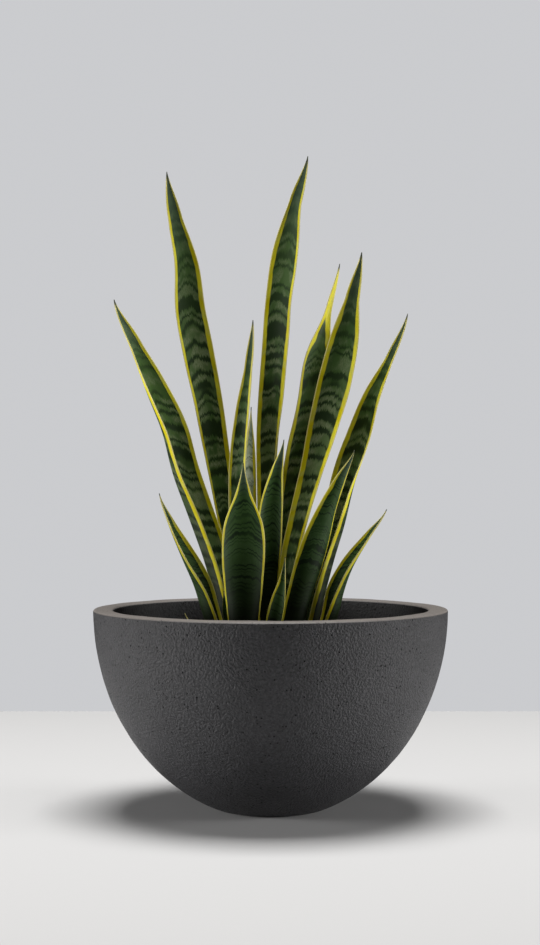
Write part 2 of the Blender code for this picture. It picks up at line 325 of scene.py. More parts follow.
class Wiring:
    """Short calls for adding and joining the nodes of one tree."""

    def __init__(self, tree):
        self.tree = tree
        self.column = 0

    def add(self, kind, **values):
        node = self.tree.nodes.new(kind)
        node.location = (self.column * 180 - 1600, -(self.column % 5) * 160)
        self.column += 1
        for key, value in values.items():
            setattr(node, key, value)
        return node

    def feed(self, socket, value):
        """Joins a socket to another one, or sets its value. A colour is given without its alpha."""
        if isinstance(value, bpy.types.NodeSocket):
            self.tree.links.new(value, socket)
        else:
            socket.default_value = (*value, 1.0) if socket.type == "RGBA" else value

    def fill(self, node, **values):
        """Feeds a node's inputs by name, with _ for a space, and gives back its outputs."""
        for label, value in values.items():
            self.feed(node.inputs[label.replace("_", " ")], value)
        return node.outputs

    def group(self, tree, **values):
        return self.fill(self.add("ShaderNodeGroup", node_tree=tree), **values)

    def uv(self, name):
        return self.add("ShaderNodeUVMap", uv_map=name).outputs["UV"]

    def parts(self, vector):
        return self.fill(self.add("ShaderNodeSeparateXYZ"), Vector=vector)

    def math(self, operation, a, b=0.0, clamp=False):
        node = self.add("ShaderNodeMath", operation=operation, use_clamp=clamp)
        self.feed(node.inputs[0], a)
        self.feed(node.inputs[1], b)
        return node.outputs[0]

    def plus(self, a, b):
        return self.math("ADD", a, b)

    def minus(self, a, b):
        return self.math("SUBTRACT", a, b)

    def times(self, a, b):
        return self.math("MULTIPLY", a, b)

    def over(self, a, b):
        return self.math("DIVIDE", a, b)

    def swung(self, value, amount):
        """Noise, which runs from 0 to 1, made to swing evenly either side of 0."""
        return self.times(self.minus(value, 0.5), amount)

    def ramp(self, value, low, high, to_low=0.0, to_high=1.0):
        """Smoothly carries value from low..high to to_low..to_high."""
        node = self.add("ShaderNodeMapRange", interpolation_type="SMOOTHSTEP")
        return self.fill(node, Value=value, From_Min=low, From_Max=high, To_Min=to_low,
                         To_Max=to_high)["Result"]

    def mix(self, share, a, b):
        node = self.add("ShaderNodeMix", data_type="RGBA")
        for i, value in ((0, share), (6, a), (7, b)):
            self.feed(node.inputs[i], value)
        return node.outputs[2]

    def noise(self, vector, scale, detail=2.0, roughness=0.5):
        return self.fill(self.add("ShaderNodeTexNoise"), Vector=vector, Scale=scale, Detail=detail,
                         Roughness=roughness)["Fac"]

    def stretched(self, vector, scale, shift=(0.0, 0.0, 0.0)):
        node = self.add("ShaderNodeMapping")
        return self.fill(node, Vector=vector, Scale=scale, Location=shift)["Vector"]

    def cloud(self, vector, stretch, shift=(0.0, 0.0, 0.0), detail=2.0, roughness=0.5):
        """Noise with a size of its own each way."""
        return self.noise(self.stretched(vector, stretch, shift), 1.0, detail, roughness)

    def line(self, value):
        """Noise along one number."""
        node = self.add("ShaderNodeTexNoise", noise_dimensions="1D")
        return self.fill(node, W=value, Scale=1.0, Detail=1.0, Roughness=0.5)["Fac"]

    def bump(self, height, distance, strength=1.0):
        node = self.add("ShaderNodeBump")
        return self.fill(node, Height=height, Distance=distance, Strength=strength)["Normal"]


def new_material(name):
    """A new material, with the wiring of its tree and its shader."""
    made = bpy.data.materials.new(name)
    made.use_nodes = True
    return made, Wiring(made.node_tree), made.node_tree.nodes["Principled BSDF"]


def new_group(name, values, outputs):
    """A shader node group: a Place and plain values go in, and plain values come out."""
    tree = bpy.data.node_groups.new(name, "ShaderNodeTree")
    tree.interface.new_socket("Place", in_out="INPUT", socket_type="NodeSocketVector")
    for label, default in values.items():
        socket = tree.interface.new_socket(label, in_out="INPUT", socket_type="NodeSocketFloat")
        socket.default_value = default
    for label in outputs:
        tree.interface.new_socket(label, in_out="OUTPUT", socket_type="NodeSocketFloat")
    w = Wiring(tree)
    return w, w.add("NodeGroupInput").outputs, w.add("NodeGroupOutput")


def blade_bands_group():
    """The cross bands of a leaf: wavy, uneven and feathered along the blade.

    Place is X across and Y along, in mm, with Z to vary one leaf from the next. It puts out how
    dark and how pale each point is, and the fine ribs that run along the blade.
    """
    if "Blade bands" in bpy.data.node_groups:
        return bpy.data.node_groups["Blade bands"]
    w, given, end = new_group(
        "Blade bands",
        {"Spacing": 14.0, "Feather": 5.0, "Wave": 4.0, "Width": 0.5, "Softness": 0.3},
        ("Dark", "Pale", "Ribs"),
    )
    place = given["Place"]
    up, other = w.parts(place)[1:]
    # Each point is moved along the blade, so that a band waves slowly, ripples and frays.
    swing = w.cloud(place, (0.080, 0.020, 1.0), detail=1.0)
    ripple = w.cloud(place, (0.26, 0.035, 1.0), (3.1, 7.7, 0.0), 1.5)
    streak = w.cloud(place, (1.15, 0.055, 1.0), (11.0, 0.0, 0.0), 3.0, 0.75)
    shift = w.plus(w.swung(swing, w.times(given["Wave"], 3.6)),
                   w.swung(ripple, w.times(given["Wave"], 1.9)))
    shift = w.plus(shift, w.swung(streak, w.times(given["Feather"], 2.0)))
    level = w.over(w.plus(up, shift), given["Spacing"])
    # The spacing and width of the bands change along the blade, and from one patch to the next.
    jitter = w.line(w.plus(w.times(level, 0.45), w.times(other, 3.7)))
    turn = w.plus(level, w.times(jitter, 2.6))
    swell = w.math("SINE", w.times(turn, 2 * math.pi))
    swell = w.plus(w.times(swell, 0.5), 0.5)
    patches = w.cloud(place, (0.055, 0.030, 1.0), (5.0, 2.0, 4.0))
    uneven = w.line(w.plus(w.times(turn, 0.8), w.times(other, 9.1)))
    limit = w.plus(w.minus(1.0, given["Width"]), w.swung(patches, 0.9))
    limit = w.plus(limit, w.swung(uneven, 0.9))
    dark = w.ramp(swell, limit, w.plus(limit, given["Softness"]))
    # Between the dark bands there are blotches of pale specks.
    speck = w.cloud(place, (1.5, 0.35, 1.0), (1.0, 9.0, 2.0), 3.0, 0.75)
    blotch = w.cloud(place, (0.07, 0.045, 1.0), (9.0, 1.0, 7.0))
    pale = w.times(w.ramp(swell, 0.62, 0.20), w.ramp(blotch, 0.40, 0.58))
    pale = w.times(pale, w.ramp(speck, 0.36, 0.60, 0.15, 1.0))
    ribs = w.cloud(place, (1.4, 0.02, 1.0), (2.0, 2.0, 8.0), 2.0, 0.6)
    w.fill(end, Dark=dark, Pale=pale, Ribs=ribs)
    return w.tree


def grain_group():
    """Cast grain: fine orange peel with scattered pits. Place and the sizes are in mm."""
    if "Cast grain" in bpy.data.node_groups:
        return bpy.data.node_groups["Cast grain"]
    w, given, end = new_group("Cast grain", {"Grain size": 2.8, "Pit spacing": 4.5},
                              ("Height", "Pits", "Mottle", "Sand", "Peel"))
    place = given["Place"]
    peel = w.noise(place, w.over(1.0, given["Grain size"]), 2.0, 0.55)
    sand = w.noise(place, 1.3, 2.0, 0.6)
    # One pit at most in each cell. Its colour chooses which cells have one, and of what size.
    cells = w.fill(w.add("ShaderNodeTexVoronoi", feature="F1"), Vector=place,
                   Scale=w.over(1.0, given["Pit spacing"]))
    pick, vary, _ = w.fill(w.add("ShaderNodeSeparateColor"), Color=cells["Color"])
    clusters = w.noise(place, 0.028)
    chosen = w.times(w.ramp(pick, 0.52, 0.56), w.ramp(clusters, 0.36, 0.46))
    size = w.ramp(vary, 0.2, 1.0, 0.14, 0.27)
    depth = w.math("SUBTRACT", 1.0, w.over(cells["Distance"], size), clamp=True)
    pits = w.times(depth, chosen)
    height = w.minus(w.plus(peel, w.times(sand, 0.22)), w.times(pits, 0.5))
    w.fill(end, Height=height, Pits=w.ramp(pits, 0.01, 0.12),
           Mottle=w.noise(place, 0.018, 4.0, 0.6), Sand=sand, Peel=peel)
    return w.tree


def object_mm(w):
    """Object coordinates in millimetres."""
    place = w.add("ShaderNodeTexCoord").outputs["Object"]
    return w.stretched(place, (1000.0, 1000.0, 1000.0))


def blade_mm(w, seed):
    """Millimetres across and along the blade, with Z to vary one leaf from the next."""
    return w.stretched(w.uv("Blade"), (1000.0, 1000.0, 1.0), (0.0, 0.0, seed * 11.7))


def margin_yellow(w, place, climb, inset, across, streaks, young):
    """The yellow of a margin: slow changes of tone, greener stretches and a cream outer line."""
    up, other = w.parts(place)[1:]
    side = w.times(w.math("SIGN", across), 31.0)  # so that the two margins differ
    spot = w.fill(w.add("ShaderNodeCombineXYZ"), X=side, Y=up, Z=other)[0]
    slow = w.cloud(spot, (1.0, 0.024, 1.0), (0.0, 8.0, 3.0))
    yellow = w.mix(w.ramp(slow, 0.38, 0.62), YELLOW, YELLOW_LIGHT)
    breaks = w.cloud(spot, (1.0, 0.075, 1.0), (0.0, 5.0, 9.0), 1.0)
    yellow = w.mix(w.ramp(breaks, 0.50, 0.72, 0.0, 0.60), yellow, YELLOW_GREENISH)
    yellow = w.mix(w.ramp(streaks, 0.50, 0.72, 0.0, 0.40), yellow, YELLOW_STREAK)
    # The cream outer line is partly the margin's own colour and partly painted sheen.
    line = w.times(w.ramp(inset, 1.5, 0.5, 0.0, 0.75), w.ramp(climb, 0.15, 0.75, 0.35, 1.0))
    yellow = w.mix(line, yellow, YELLOW_CREAM)
    # Painted shade: the margin darkens towards the soil.
    yellow = w.mix(w.ramp(climb, 0.30, -0.02, 0.0, 0.55), yellow, YELLOW_FOOT_SHADE)
    return w.mix(0.30, yellow, YELLOW_YOUNG) if young else yellow


def blade_material(name, leaf, seed, under):
    """The skin of a leaf: cross bands, a yellow margin and a grey tip. under is its back."""
    sizes = settings().leaves
    dark, middle, light, frost, spacing, feather, wave, width, softness = LEAF_KINDS[leaf.kind]
    grown, young = leaf.kind == "grown", leaf.kind == "young"
    made, w, shader = new_material(name)
    place = blade_mm(w, seed)
    inward, climb, _ = w.parts(w.uv("Edge"))
    inset, across, _ = w.parts(w.uv("Rim"))
    bands = w.group(blade_bands_group(), Place=place, Spacing=spacing * sizes.band_spacing,
                    Feather=feather, Wave=wave, Width=width, Softness=softness)
    sage = w.ramp(w.cloud(place, (0.030, 0.012, 1.0), (9.0, 4.0, 1.0)), 0.36, 0.62)
    if grown:
        sage = w.times(sage, w.ramp(climb, 0.85, 0.35, 0.15, 1.0))
    frosted = w.times(bands["Pale"], w.ramp(climb, 0.50, 0.85, 1.0, 0.35))
    colour = w.mix(frosted, w.mix(sage, middle, light), frost)
    strong = w.ramp(climb, 0.62, 0.92, 0.95, 0.42) if grown else 0.95
    colour = w.mix(w.times(bands["Dark"], strong), colour, dark)
    if young:
        # Low down, young blades are plain and painted dark as shade, so their bands show only in
        # the upper part.
        colour = w.mix(w.ramp(climb, 0.62, 0.12, 0.0, 0.94), colour, YOUNG_FOOT_SHADE)
    elif under:
        # A pale frost on the back, partly the leaf's own and partly painted sheen of the side
        # lights.
        frost_and_sheen = w.cloud(place, (0.09, 0.055, 1.0), detail=4.0, roughness=0.7)
        colour = w.mix(w.ramp(frost_and_sheen, 0.46, 0.64, 0.0, 0.42), colour, BACK_FROST_AND_SHEEN)
        # Painted shade: the back darkens towards the foot, more than the front.
        colour = w.mix(w.ramp(climb, 0.62, 0.08, 0.34, 0.86), colour, GREEN_FOOT_SHADE)
    # Painted shade: every leaf but the pale one darkens to near black towards the soil.
    if leaf.kind != "pale":
        colour = w.mix(w.ramp(climb, 0.24, 0.0, 0.0, 0.72), colour, GREEN_FOOT_SHADE)
    streaks = w.cloud(place, (2.2, 0.03, 1.0), (4.0, 1.0, 6.0), 1.0)
    greyed = w.ramp(w.plus(climb, w.times(streaks, 0.08)), 0.84, 1.0, 0.0, 0.60)
    colour = w.mix(greyed, colour, TIP_GREY)
    # The margin's inner line wanders slowly, and frays where the streaks run.
    wander = w.cloud(place, (0.0, 0.05, 1.0), (0.0, 3.0, 0.0))
    reach = w.plus(w.plus(1.0, w.swung(wander, 0.55)), w.swung(streaks, 0.16))
    gold = w.ramp(w.minus(inward, reach), 0.09, -0.09)
    yellow = margin_yellow(w, place, climb, w.times(inset, 1000.0), across, streaks, young)
    colour = w.mix(gold, colour, yellow)
    colour = w.mix(w.ramp(climb, *POINT_SPAN), colour, POINT_BROWN)
    height = w.plus(w.times(bands["Ribs"], 0.6), w.times(bands["Dark"], -0.12))
    height = w.plus(height, w.times(w.noise(place, 3.0), 0.12))
    dull = young or under
    w.fill(shader, Base_Color=colour, Normal=w.bump(height, 0.00022, 0.55),
           Roughness=w.ramp(bands["Ribs"], 0.3, 0.7, sizes.gloss_low, sizes.gloss_high),
           Specular_IOR_Level=0.11 if dull else 0.16, Coat_Weight=0.0 if dull else 0.02,
           Coat_Roughness=0.32, Sheen_Weight=0.01, Sheen_Roughness=0.5,
           Sheen_Tint=(0.75, 0.85, 0.9))
    return made


def edge_material(name, seed):
    """The narrow rounded edge of a leaf."""
    made, w, shader = new_material(name)
    place = blade_mm(w, seed)
    climb = w.parts(w.uv("Edge"))["Y"]
    tone = w.cloud(place, (0.0, 0.06, 1.0), detail=3.0)
    # The edge's pale cream is partly its own colour and partly painted sheen.
    colour = w.mix(w.ramp(tone, 0.35, 0.65), EDGE_DARK, EDGE_LIGHT)
    # Painted shade: the edge darkens towards the soil.
    colour = w.mix(w.ramp(climb, 0.30, 0.0, 0.0, 0.7), colour, EDGE_FOOT_SHADE)
    colour = w.mix(w.ramp(climb, *POINT_SPAN), colour, POINT_BROWN)
    w.fill(shader, Base_Color=colour, Roughness=w.ramp(tone, 0.3, 0.7, 0.40, 0.55),
           Normal=w.bump(w.noise(place, 0.8), 0.0001, 0.5))
    return made


def stone_material(name, inside):
    """Charcoal fibre cement with a dusty lighter rim. inside is the inner wall, painted darker as
    shade.
    """
    sizes = settings().planter
    made, w, shader = new_material(name)
    place = object_mm(w)
    grain = w.group(grain_group(), Place=place, Pit_spacing=sizes.pit_spacing * 1000,
                    Grain_size=sizes.grain * (1200 if inside else 1000))
    # The inner wall's colour is painted darker, for the shade inside the bowl.
    base = tuple(c * (0.30 if inside else 1.0) for c in sizes.colour)

    def lit(times):
        return tuple(c * times for c in base)

    colour = w.mix(w.ramp(grain["Mottle"], 0.35, 0.65), lit(0.88), lit(1.10))
    for part, low, high, most, times in (
        ("Sand", 0.46, 0.70, 0.35, 1.7), ("Peel", 0.47, 0.36, 0.60, 0.38),
        ("Peel", 0.54, 0.66, 0.60, 2.0),
    ):
        colour = w.mix(w.ramp(grain[part], low, high, 0.0, most), colour, lit(times))
    height = w.parts(place)["Z"]
    rim = w.ramp(height, *((BOWL_BOX[1].z - depth) * 1000 for depth in RIM_SPAN))
    wear = w.ramp(w.noise(place, 0.35, 3.0, 0.6), 0.20, 0.60, 0.75, 1.0)
    colour = w.mix(w.times(rim, wear), colour, sizes.rim_colour)
    worn = w.ramp(rim, 0.0, 1.0, 1.0, 0.35)  # the grain and pits are fainter on the rim
    # Painted shade: the pits are coloured near black, for the shade inside each small hole.
    colour = w.mix(w.times(grain["Pits"], worn), colour, PIT_SHADE)
    # The inner wall is darker towards the soil line.
    if inside:
        colour = w.mix(w.ramp(height, *NEAR_SOIL_SPAN, 0.0, 0.6), colour, STONE_NEAR_SOIL)
    rough = w.ramp(grain["Sand"], 0.3, 0.7, 0.46, 0.60)
    relief = w.times(grain["Height"], worn)
    w.fill(shader, Base_Color=colour, Roughness=w.math("MAXIMUM", rough, grain["Pits"]),
           Normal=w.bump(relief, 0.0016 if inside else 0.0021),
           Specular_IOR_Level=0.3 if inside else 0.38)
    return made


def earth_material(name):
    """Dark peat with lighter fibres."""
    made, w, shader = new_material(name)
    place = object_mm(w)
    lumps = w.noise(place, 0.22, 5.0, 0.65)
    fine = w.noise(place, 1.4, 3.0, 0.7)
    colour = w.mix(w.ramp(lumps, 0.35, 0.65), PEAT_DARK, PEAT_LIGHT)
    colour = w.mix(w.ramp(fine, 0.60, 0.72, 0.0, 0.55), colour, PEAT_FIBRE)
    w.fill(shader, Base_Color=colour, Roughness=w.ramp(fine, 0.3, 0.7, 0.78, 0.97),
           Normal=w.bump(w.plus(lumps, w.times(fine, 0.5)), 0.0022, 0.9))
    return made


def crumb_material(name, dark, light, grain, roughness):
    """Bark, grit or pumice: two tones, with a grain of its own size in mm."""
    made, w, shader = new_material(name)
    place = object_mm(w)
    fibre = w.noise(w.stretched(place, (1.0, 1.0, 2.6)), 1.0 / grain, 4.0, 0.7)
    shade = w.ramp(w.plus(w.noise(place, 0.11), w.times(fibre, 0.6)), 0.62, 0.98)
    w.fill(shader, Base_Color=w.mix(shade, dark, light),
           Roughness=w.ramp(fibre, 0.3, 0.7, roughness - 0.1, roughness),
           Normal=w.bump(fibre, 0.0006, 0.8))
    return made


# ---- Pieces --------------------------------------------------------------------------------------

SHORT = 120.0  # young leaves up to this many mm tall have fewer steps across
STEP = 5.0  # mm from one step along a leaf to the next
MARGIN_MOST = 0.70  # the largest share of the half width that a yellow margin takes
MARGIN_MOST_TIP = 0.34  # the same, near the tip
MARGIN_LEAST = 0.0003
WIDE_MARGIN = (9.0, 14.0)  # a margin listed wider than this many mm may run right across
MARGIN_WIDER = 0.8  # added to the largest share for such a margin
DRAIN_EDGE = 0.0015  # chamfer of the drain hole's edges
CRUMB_ROUGHNESS = 0.55
NEAR = 1e-5

def build_leaf(leaf, seed):
    """One leaf: a fine grid laid along the blade, thickened towards its midrib and smoothed."""
    short = leaf.kind == "young" and leaf.height <= SHORT
    bpy.ops.object.select_all(action="DESELECT")
    bpy.ops.mesh.primitive_grid_add(
        x_subdivisions=10 if short else 16, y_subdivisions=max(24, round(leaf.height / STEP)),
        size=1, location=(0, 0, 0),
    )
    blade = new_piece(leaf.node + "_blade")
    mesh = blade.data
    first = -ROOTED / leaf.height
    thick = blade.vertex_groups.new(name="thickness")
    spots = []
    for vert in mesh.vertices:
        # The grid is finer towards the margins and towards the tip.
        across = max(-1.0, min(1.0, vert.co.x * 2))
        across = math.sin(across * math.pi / 2) * 0.35 + across * 0.65
        share = first + (1 - first) * (1 - (1 - (vert.co.y + 0.5)) ** 1.25)
        spots.append((across, share))
        vert.co = blade_point(leaf, across, share, seed)
        thick.add([vert.index], min(1.0, thickness_share(leaf, across, share)), "REPLACE")
    lay_out(leaf, mesh, spots)
    shell = blade.modifiers.new("Thickness", "SOLIDIFY")
    shell.thickness = MIDRIB * MM
    shell.offset = 0.0
    shell.vertex_group = "thickness"
    shell.material_offset = 1
    shell.material_offset_rim = 2
    smooth = blade.modifiers.new("Smooth", "SUBSURF")
    smooth.levels = 1
    smooth.render_levels = 1
    name = leaf.node.removeprefix("leaf_")
    mesh.materials.append(blade_material("Blade " + name, leaf, seed, False))
    mesh.materials.append(blade_material("Blade back " + name, leaf, seed, True))
    mesh.materials.append(edge_material("Blade edge " + name, seed))
    apply_modifiers(blade)
    blade.vertex_groups.clear()
    bpy.ops.object.shade_smooth()
    stand_for(blade, leaf.node)


def arc_lengths(leaf, steps=80):
    """Distance along the blade from the soil, at evenly spaced shares."""
    total, lengths = 0.0, [0.0]
    last = middle_of(leaf, 0.0)
    for i in range(1, steps + 1):
        here = middle_of(leaf, i / steps)
        total += (here - last).length
        lengths.append(total)
        last = here
    return lengths


def margin_width(leaf, across, share, half):
    """Width of the yellow margin on one side of the blade, in metres."""
    margin = along(leaf.left if across < 0 else leaf.right, share) * MM
    most = MARGIN_MOST - (MARGIN_MOST - MARGIN_MOST_TIP) * rising(share, 0.70, 0.85)
    most += MARGIN_WIDER * rising(margin / MM, *WIDE_MARGIN)
    return max(MARGIN_LEAST, min(margin, half * most))


def lay_out(leaf, mesh, spots):
    """Three UV maps. Blade is metres across and along, with the along part arched so that bands
    drop towards the margins. Edge is the way in from the margin, as a share of the margin's
    width, and the share of the height. Rim is metres in from the edge, and -1 to 1 across."""
    for old in list(mesh.uv_layers):
        mesh.uv_layers.remove(old)
    lengths = arc_lengths(leaf)
    places = []
    for across, share in spots:
        fold = math.radians(along(leaf.fold, share))
        half = half_width(leaf, share) * fold / math.sin(fold)
        if share < 0:
            far = share * leaf.height * MM
        else:
            place = share * (len(lengths) - 1)
            i = min(int(place), len(lengths) - 2)
            far = lengths[i] + (lengths[i + 1] - lengths[i]) * (place - i)
        arch = half * across**2 * (0.25 + 0.95 * max(0.0, share) ** 1.6)
        inset = half * (1 - abs(across))
        places.append((
            (half * across, far + arch),
            (inset / margin_width(leaf, across, share, half), share),
            (inset, across),
        ))
    for i, name in enumerate(("Blade", "Edge", "Rim")):
        layer = mesh.uv_layers.new(name=name)
        for loop in mesh.loops:
            layer.data[loop.index].uv = places[loop.vertex_index][i]


def outer_point(angle, inset=0.0):
    """(radius, height) on the bowl's outer ellipse, or inset from it along its normal."""
    rim, top = BOWL_BOX[1].x, BOWL_BOX[1].z
    r, z = rim * math.cos(angle), top - CURVE_DEPTH * math.sin(angle)
    normal = Vector((math.cos(angle) / rim, -math.sin(angle) / CURVE_DEPTH)).normalized()
    return r - normal.x * inset, z - normal.y * inset


def angle_at_height(height, inset=0.0):
    """Angle on the inset ellipse at which it passes the given height, found by halving."""
    low, high = 0.0, math.pi / 2
    for _ in range(40):
        middle = (low + high) / 2
        if outer_point(middle, inset)[1] > height:
            low = middle
        else:
            high = middle
    return (low + high) / 2


def curve(first, last, inset, steps):
    """Points on the inset ellipse between two angles."""
    return [outer_point(first + (last - first) * i / steps, inset) for i in range(steps + 1)]


def corner(centre, radius, start, end, steps):
    """Points on a rounded edge of a turned profile, between two angles in degrees."""
    points = []
    for i in range(steps + 1):
        angle = math.radians(start + (end - start) * i / steps)
        points.append((centre[0] + radius * math.cos(angle), centre[1] + radius * math.sin(angle)))
    return points


def turn_piece(name, profile, steps, close):
    """Turns a (radius, height) profile about Z, ring by ring, by extruding and scaling a circle."""
    bpy.ops.object.select_all(action="DESELECT")
    radius, height = profile[0]
    bpy.ops.mesh.primitive_circle_add(vertices=steps, radius=radius, location=(0, 0, height))
    piece = new_piece(name)
    place_in_mesh(piece)
    bpy.ops.object.mode_set(mode="EDIT")
    bpy.ops.mesh.select_all(action="SELECT")
    for last, new in zip(profile, profile[1:]):
        bpy.ops.mesh.extrude_edges_move(TRANSFORM_OT_translate={"value": (0, 0, new[1] - last[1])})
        share = new[0] / last[0]
        bpy.ops.transform.resize(value=(share, share, 1), center_override=(0, 0, new[1]))
    if close:
        bpy.ops.mesh.select_all(action="SELECT")
        bpy.ops.mesh.remove_doubles(threshold=NEAR)
    else:
        bpy.ops.mesh.edge_face_add()
        bpy.ops.mesh.select_all(action="DESELECT")
        work = bmesh.from_edit_mesh(piece.data)
        for vert in work.verts:
            vert.select = abs(vert.co.z - height) < NEAR and vert.is_boundary
        work.select_flush(True)
        bmesh.update_edit_mesh(piece.data)
        bpy.ops.mesh.edge_face_add()
    bpy.ops.mesh.select_all(action="SELECT")
    bpy.ops.mesh.normals_make_consistent(inside=False)
    bpy.ops.object.mode_set(mode="OBJECT")
    bpy.ops.object.shade_smooth()
    return piece


def build_planter():
    """The bowl: turned, with soft rim edges and the slight unevenness of a cast wall."""
    rim, top = BOWL_BOX[1].x, BOWL_BOX[1].z
    edge = settings().planter.rim_edge
    rim_line = top - edge
    flat = rim - WALL + edge
    foot = outer_point(angle_at_height(0.0))[0]
    drain = DRAIN_RADIUS + DRAIN_EDGE
    profile = [(foot - 0.0035, 0.0), (foot - 0.0012, 0.0004)]
    profile += curve(angle_at_height(FOOT_EDGE), angle_at_height(rim_line), 0.0, 64)
    profile += corner((rim - edge, rim_line), edge, 0, 90, 5)[1:]
    for share in (0.2, 0.4, 0.6, 0.8):
        profile.append((rim - edge + (flat - rim + edge) * share, top))
    profile += corner((flat, rim_line), edge, 90, 180, 5)[:-1]
    profile += curve(angle_at_height(rim_line, WALL), angle_at_height(FLOOR, WALL), WALL, 44)
    profile += [(drain, FLOOR), (DRAIN_RADIUS, FLOOR - DRAIN_EDGE)]
    profile += [(DRAIN_RADIUS, RECESS + DRAIN_EDGE), (drain, RECESS)]
    for inset, height in ((0.0190, RECESS), (0.0165, FOOT_EDGE), (0.0145, 0.0002), (0.0125, 0.0)):
        profile.append((foot - inset, height))
    profile.append(profile[0])
    bowl = turn_piece("planter_bowl_cast", profile, 224, True)
    normals = [vert.normal.copy() for vert in bowl.data.vertices]
    for vert, normal in zip(bowl.data.vertices, normals):
        if vert.co.z > SMOOTH_FOOT:
            lump = noise.noise(vert.co * 22.0) * 0.00035 + noise.noise(vert.co * 70.0) * 0.00014
            vert.co += normal * lump * min(1.0, (vert.co.z - SMOOTH_FOOT) / 0.03)
    bowl.data.materials.append(stone_material("Fibre cement", False))
    bowl.data.materials.append(stone_material("Fibre cement inside", True))
    for face in bowl.data.polygons:
        middle, normal = face.center, face.normal
        out = (normal.x * middle.x + normal.y * middle.y) / math.hypot(middle.x, middle.y)
        inner = FLOOR - 0.001 < middle.z < rim_line and out < 0.3 and normal.z > -0.2
        face.material_index = int(inner)
    stand_for(bowl, "planter_bowl")


def soil_height(x, y):
    """Height of the soil's crumbly top at a place."""
    reach = BOWL_BOX[1].x - WALL
    far = min(1.0, math.hypot(x, y) / reach)
    spot = Vector((x, y, 0.0))
    lumps = noise.fractal(spot * 42.0, 1.0, 2.1, 4) * 0.0026
    crumbs = noise.noise(spot * 260.0) * 0.0009
    hollow = -0.0025 * max(0.0, (far - 0.86) / 0.14)
    return SOIL_LEVEL + SOIL_MOUND * (1 - far**2) + lumps + crumbs + hollow - 0.001


def build_soil():
    """The potting mix: its sides fit the bowl, and its top is uneven and crumbly."""
    low, high = angle_at_height(FLOOR, WALL), angle_at_height(SOIL_LEVEL - 0.003, WALL)
    wall = curve(low, high, WALL + GAP, 12)
    rings = 46
    edge_radius = wall[-1][0]
    top = [(edge_radius * (1 - i / rings), wall[-1][1]) for i in range(1, rings)]
    profile = [(0.004, wall[0][1])] + wall + top
    soil = turn_piece("potting_mix_bed", profile, 160, False)
    for vert in soil.data.vertices:
        if vert.co.z > wall[-1][1] - NEAR:
            vert.co.z = soil_height(vert.co.x, vert.co.y)
    soil.data.materials.append(earth_material("Peat"))
    stand_for(soil, "potting_soil")


def crumb(name, radius, squash, seed):
    """One crumb of the top dressing: a ball of few faces, flattened and knocked out of round."""
    bpy.ops.object.select_all(action="DESELECT")
    bpy.ops.mesh.primitive_ico_sphere_add(subdivisions=1, radius=radius, location=(0, 0, 0))
    piece = new_piece(name)
    for vert in piece.data.vertices:
        spot = vert.co * (0.9 / radius) + Vector((seed * 5.1, 0, 0))
        knock = 1 + CRUMB_ROUGHNESS * noise.noise(spot)
        vert.co = Vector([c * knock * flat for c, flat in zip(vert.co, squash)])
    only(piece)
    bpy.ops.object.mode_set(mode="EDIT")
    bpy.ops.mesh.select_all(action="SELECT")
    bpy.ops.mesh.bevel(offset=radius * 0.16, segments=1, affect="EDGES")
    bpy.ops.object.mode_set(mode="OBJECT")
    return piece


# The top dressing. Each sort: its piece, finish, dark and light colours, grain in mm, roughness and
# share of the crumbs, then the crumbs it is made of, with a radius and how much each is flattened.
DRESSING = [
    ("bark_chips", "Bark", (0.030, 0.015, 0.008), (0.150, 0.080, 0.040), 1.6, 0.85, 0.45,
     [(0.0046, (1.5, 0.85, 0.34)), (0.0038, (1.2, 0.7, 0.4)), (0.0055, (1.9, 0.6, 0.3))]),
    ("peat_crumbs", "Peat crumbs", (0.012, 0.008, 0.005), (0.060, 0.038, 0.022), 0.9, 0.95, 0.40,
     [(0.0022, (1.0, 0.9, 0.8)), (0.0016, (1.1, 0.8, 0.7)), (0.0030, (1.1, 0.9, 0.7))]),
    ("pumice_grit", "Pumice", (0.220, 0.210, 0.190), (0.550, 0.530, 0.490), 0.8, 0.9, 0.15,
     [(0.0018, (1.0, 0.9, 0.8)), (0.0024, (1.1, 0.9, 0.8)), (0.0014, (1.0, 1.0, 0.9))]),
]


def scattered(models, chance):
    """A copy of one of the models, dropped on the soil at a chance place and turn."""
    model = chance.choice(models)
    copy = model.copy()
    copy.data = model.data.copy()
    bpy.context.scene.collection.objects.link(copy)
    angle = chance.uniform(0, 2 * math.pi)
    far = (BOWL_BOX[1].x - WALL - 0.006) * math.sqrt(chance.uniform(0.02, 0.985))
    x, y = far * math.cos(angle), far * math.sin(angle)
    turn = Matrix.Rotation(chance.uniform(0, 6.28), 4, "Z")
    tip = Matrix.Rotation(chance.uniform(-0.5, 0.5), 4, "X")
    place = Vector((x, y, soil_height(x, y) + chance.uniform(-0.0002, 0.0010)))
    size = chance.uniform(0.7, 1.25)
    copy.matrix_world = Matrix.Translation(place) @ turn @ tip @ Matrix.Scale(size, 4)
    return copy


def build_dressing():
    """Bark, grit and pumice scattered over the soil, each sort joined into one piece."""
    chance = random.Random(41)
    for name, finish, dark, light, grain, roughness, portion, shapes in DRESSING:
        models = [crumb(f"{name}_{i}", size, squash, i + len(name))
                  for i, (size, squash) in enumerate(shapes)]
        count = round(settings().soil.crumbs * portion)
        copies = [scattered(models, chance) for _ in range(count)]
        for model in models:
            bpy.data.objects.remove(model)
        bpy.ops.object.select_all(action="DESELECT")
        for copy in copies:
            copy.select_set(True)
        bpy.context.view_layer.objects.active = copies[0]
        bpy.ops.object.join()
        heap = new_piece(name)
        place_in_mesh(heap)
        heap.data.materials.clear()
        heap.data.materials.append(crumb_material(finish, dark, light, grain, roughness))
        stand_for(heap, None)


